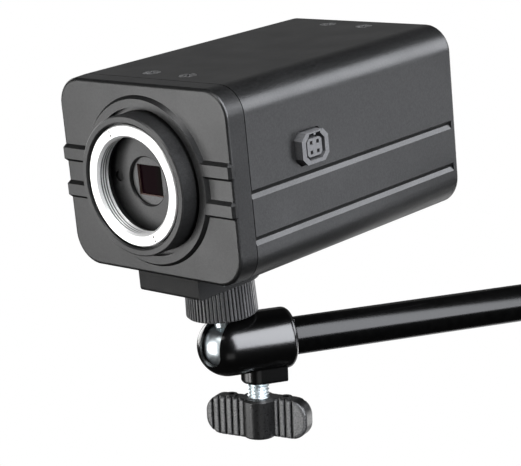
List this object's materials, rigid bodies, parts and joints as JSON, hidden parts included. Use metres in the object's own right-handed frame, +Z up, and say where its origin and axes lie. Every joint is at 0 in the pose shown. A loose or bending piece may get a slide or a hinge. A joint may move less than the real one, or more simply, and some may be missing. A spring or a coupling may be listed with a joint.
{
  "type": "box camera",
  "caption": "Box-shaped surveillance camera with a threaded lens ring and side iris socket, on a knurled ball joint with a wing clamp screw, a round arm and a wall flange.",
  "frame": {"origin": "on the lens axis, in the plane of the lens ring's front face", "axes": "-Y along the lens axis towards the scene, +Z up, +X towards the side with the iris socket"},
  "size_m": [0.125, 0.174, 0.1138],
  "materials": {
    "coat": "satin",
    "barrel_black": "matte",
    "ring_metal": "bright turned",
    "holder_grey": "matte",
    "filter_red": "polished",
    "rubber_black": "matte",
    "chip_black": "matte",
    "board_green": "solder mask",
    "socket_black": "matte",
    "insert_grey": "matte",
    "contact_gold": "plated",
    "plated": "nickel plated",
    "insulator_white": "smooth",
    "can_metal": "satin",
    "terminal_green": "smooth",
    "led_lens": "clear tinted",
    "key_rubber": "matte",
    "screw_black": "black oxide",
    "knurl_black": "matte",
    "ball_chrome": "polished",
    "arm_gloss": "gloss",
    "screw_zinc": "bright zinc",
    "knob_plastic": "worn satin"
  },
  "bodies": {
    "root": {"wall_flange": "arm_gloss", "flange_set_screw": "screw_black", "arm_rod": "arm_gloss", "arm_bush": "arm_gloss", "ball_housing": "arm_gloss"},
    "pad": {"pressure_pad": "insulator_white"},
    "clamp": {"clamp_screw": "screw_zinc", "wing_knob": "knob_plastic"},
    "ball": {"ball_stud": "ball_chrome"},
    "lock_nut": {"lock_ring": "knurl_black"},
    "camera": {"front_bezel": "coat", "lens_barrel": "barrel_black", "filter_holder": "holder_grey", "ir_filter": "filter_red", "sensor_gasket": "rubber_black", "image_sensor": "chip_black", "sensor_board": "board_green", "barrel_screws": "plated", "cover_sleeve": "coat", "main_board": "board_green", "sensor_header": "socket_black", "io_header": "socket_black", "processor_chip": "chip_black", "capacitors": "can_metal", "power_coil": "chip_black", "iris_board": "board_green", "iris_socket": "socket_black", "iris_insert": "insert_grey", "iris_contacts": "contact_gold", "rear_panel": "coat", "io_board": "board_green", "io_spacers": "contact_gold", "io_screws": "plated", "video_socket": "plated", "video_insulator": "insulator_white", "video_contact": "contact_gold", "video_nut": "plated", "power_terminal": "terminal_green", "terminal_screws": "plated", "power_led": "led_lens", "key_switches": "chip_black", "front_screws": "screw_black", "rear_screws": "screw_black", "bottom_screws": "screw_black", "mount_block": "coat", "block_screws": "screw_black"},
    "back_focus_ring": {"lens_ring": "ring_metal"},
    "key_set_cap": {"menu_key_set": "key_rubber"},
    "key_up_cap": {"menu_key_up": "key_rubber"},
    "key_down_cap": {"menu_key_down": "key_rubber"},
    "key_left_cap": {"menu_key_left": "key_rubber"},
    "key_right_cap": {"menu_key_right": "key_rubber"}
  },
  "joints": [
    {"name": "ball_swing", "type": "hinge", "parent": "root", "child": "ball", "pos_m": [0, 0.0266, -0.04985], "axis": [0.9914, 0.1305, 0], "range_deg": [0, 90]},
    {"name": "camera_pan", "type": "hinge", "parent": "ball", "child": "camera", "pos_m": [0, 0.0266, -0.04985], "axis": [0, 0, 1], "continuous": true},
    {"name": "lock_ring_turn", "type": "hinge", "parent": "ball", "child": "lock_nut", "pos_m": [0, 0.0266, -0.04985], "axis": [0, 0, 1], "range_deg": [0, 110]},
    {"name": "lens_ring_turn", "type": "hinge", "parent": "camera", "child": "back_focus_ring", "pos_m": [0, 0, 0], "axis": [0, -1, 0], "range_deg": [-60, 60]},
    {"name": "pad_slide", "type": "slide", "parent": "root", "child": "pad", "axis": [-0.0277, -0.0544, -0.9981], "range_m": [0, 0.0016]},
    {"name": "clamp_screw_turn", "type": "hinge", "parent": "pad", "child": "clamp", "pos_m": [0.0035, 0.03348, -0.06535], "axis": [-0.0277, -0.0544, -0.9981], "range_deg": [0, 577]},
    {"name": "key_set_press", "type": "slide", "parent": "camera", "child": "key_set_cap", "axis": [0, -1, 0], "range_m": [0, 0.0005], "stiffness_N_per_m": 1500, "springref_m": -0.0005},
    {"name": "key_up_press", "type": "slide", "parent": "camera", "child": "key_up_cap", "axis": [0, -1, 0], "range_m": [0, 0.0005], "stiffness_N_per_m": 1500, "springref_m": -0.0005},
    {"name": "key_down_press", "type": "slide", "parent": "camera", "child": "key_down_cap", "axis": [0, -1, 0], "range_m": [0, 0.0005], "stiffness_N_per_m": 1500, "springref_m": -0.0005},
    {"name": "key_left_press", "type": "slide", "parent": "camera", "child": "key_left_cap", "axis": [0, -1, 0], "range_m": [0, 0.0005], "stiffness_N_per_m": 1500, "springref_m": -0.0005},
    {"name": "key_right_press", "type": "slide", "parent": "camera", "child": "key_right_cap", "axis": [0, -1, 0], "range_m": [0, 0.0005], "stiffness_N_per_m": 1500, "springref_m": -0.0005}
  ],
  "couplings": [
    {"joint": "clamp_screw_turn", "follows": "pad_slide", "rad_per_m": 6283.2}
  ]
}
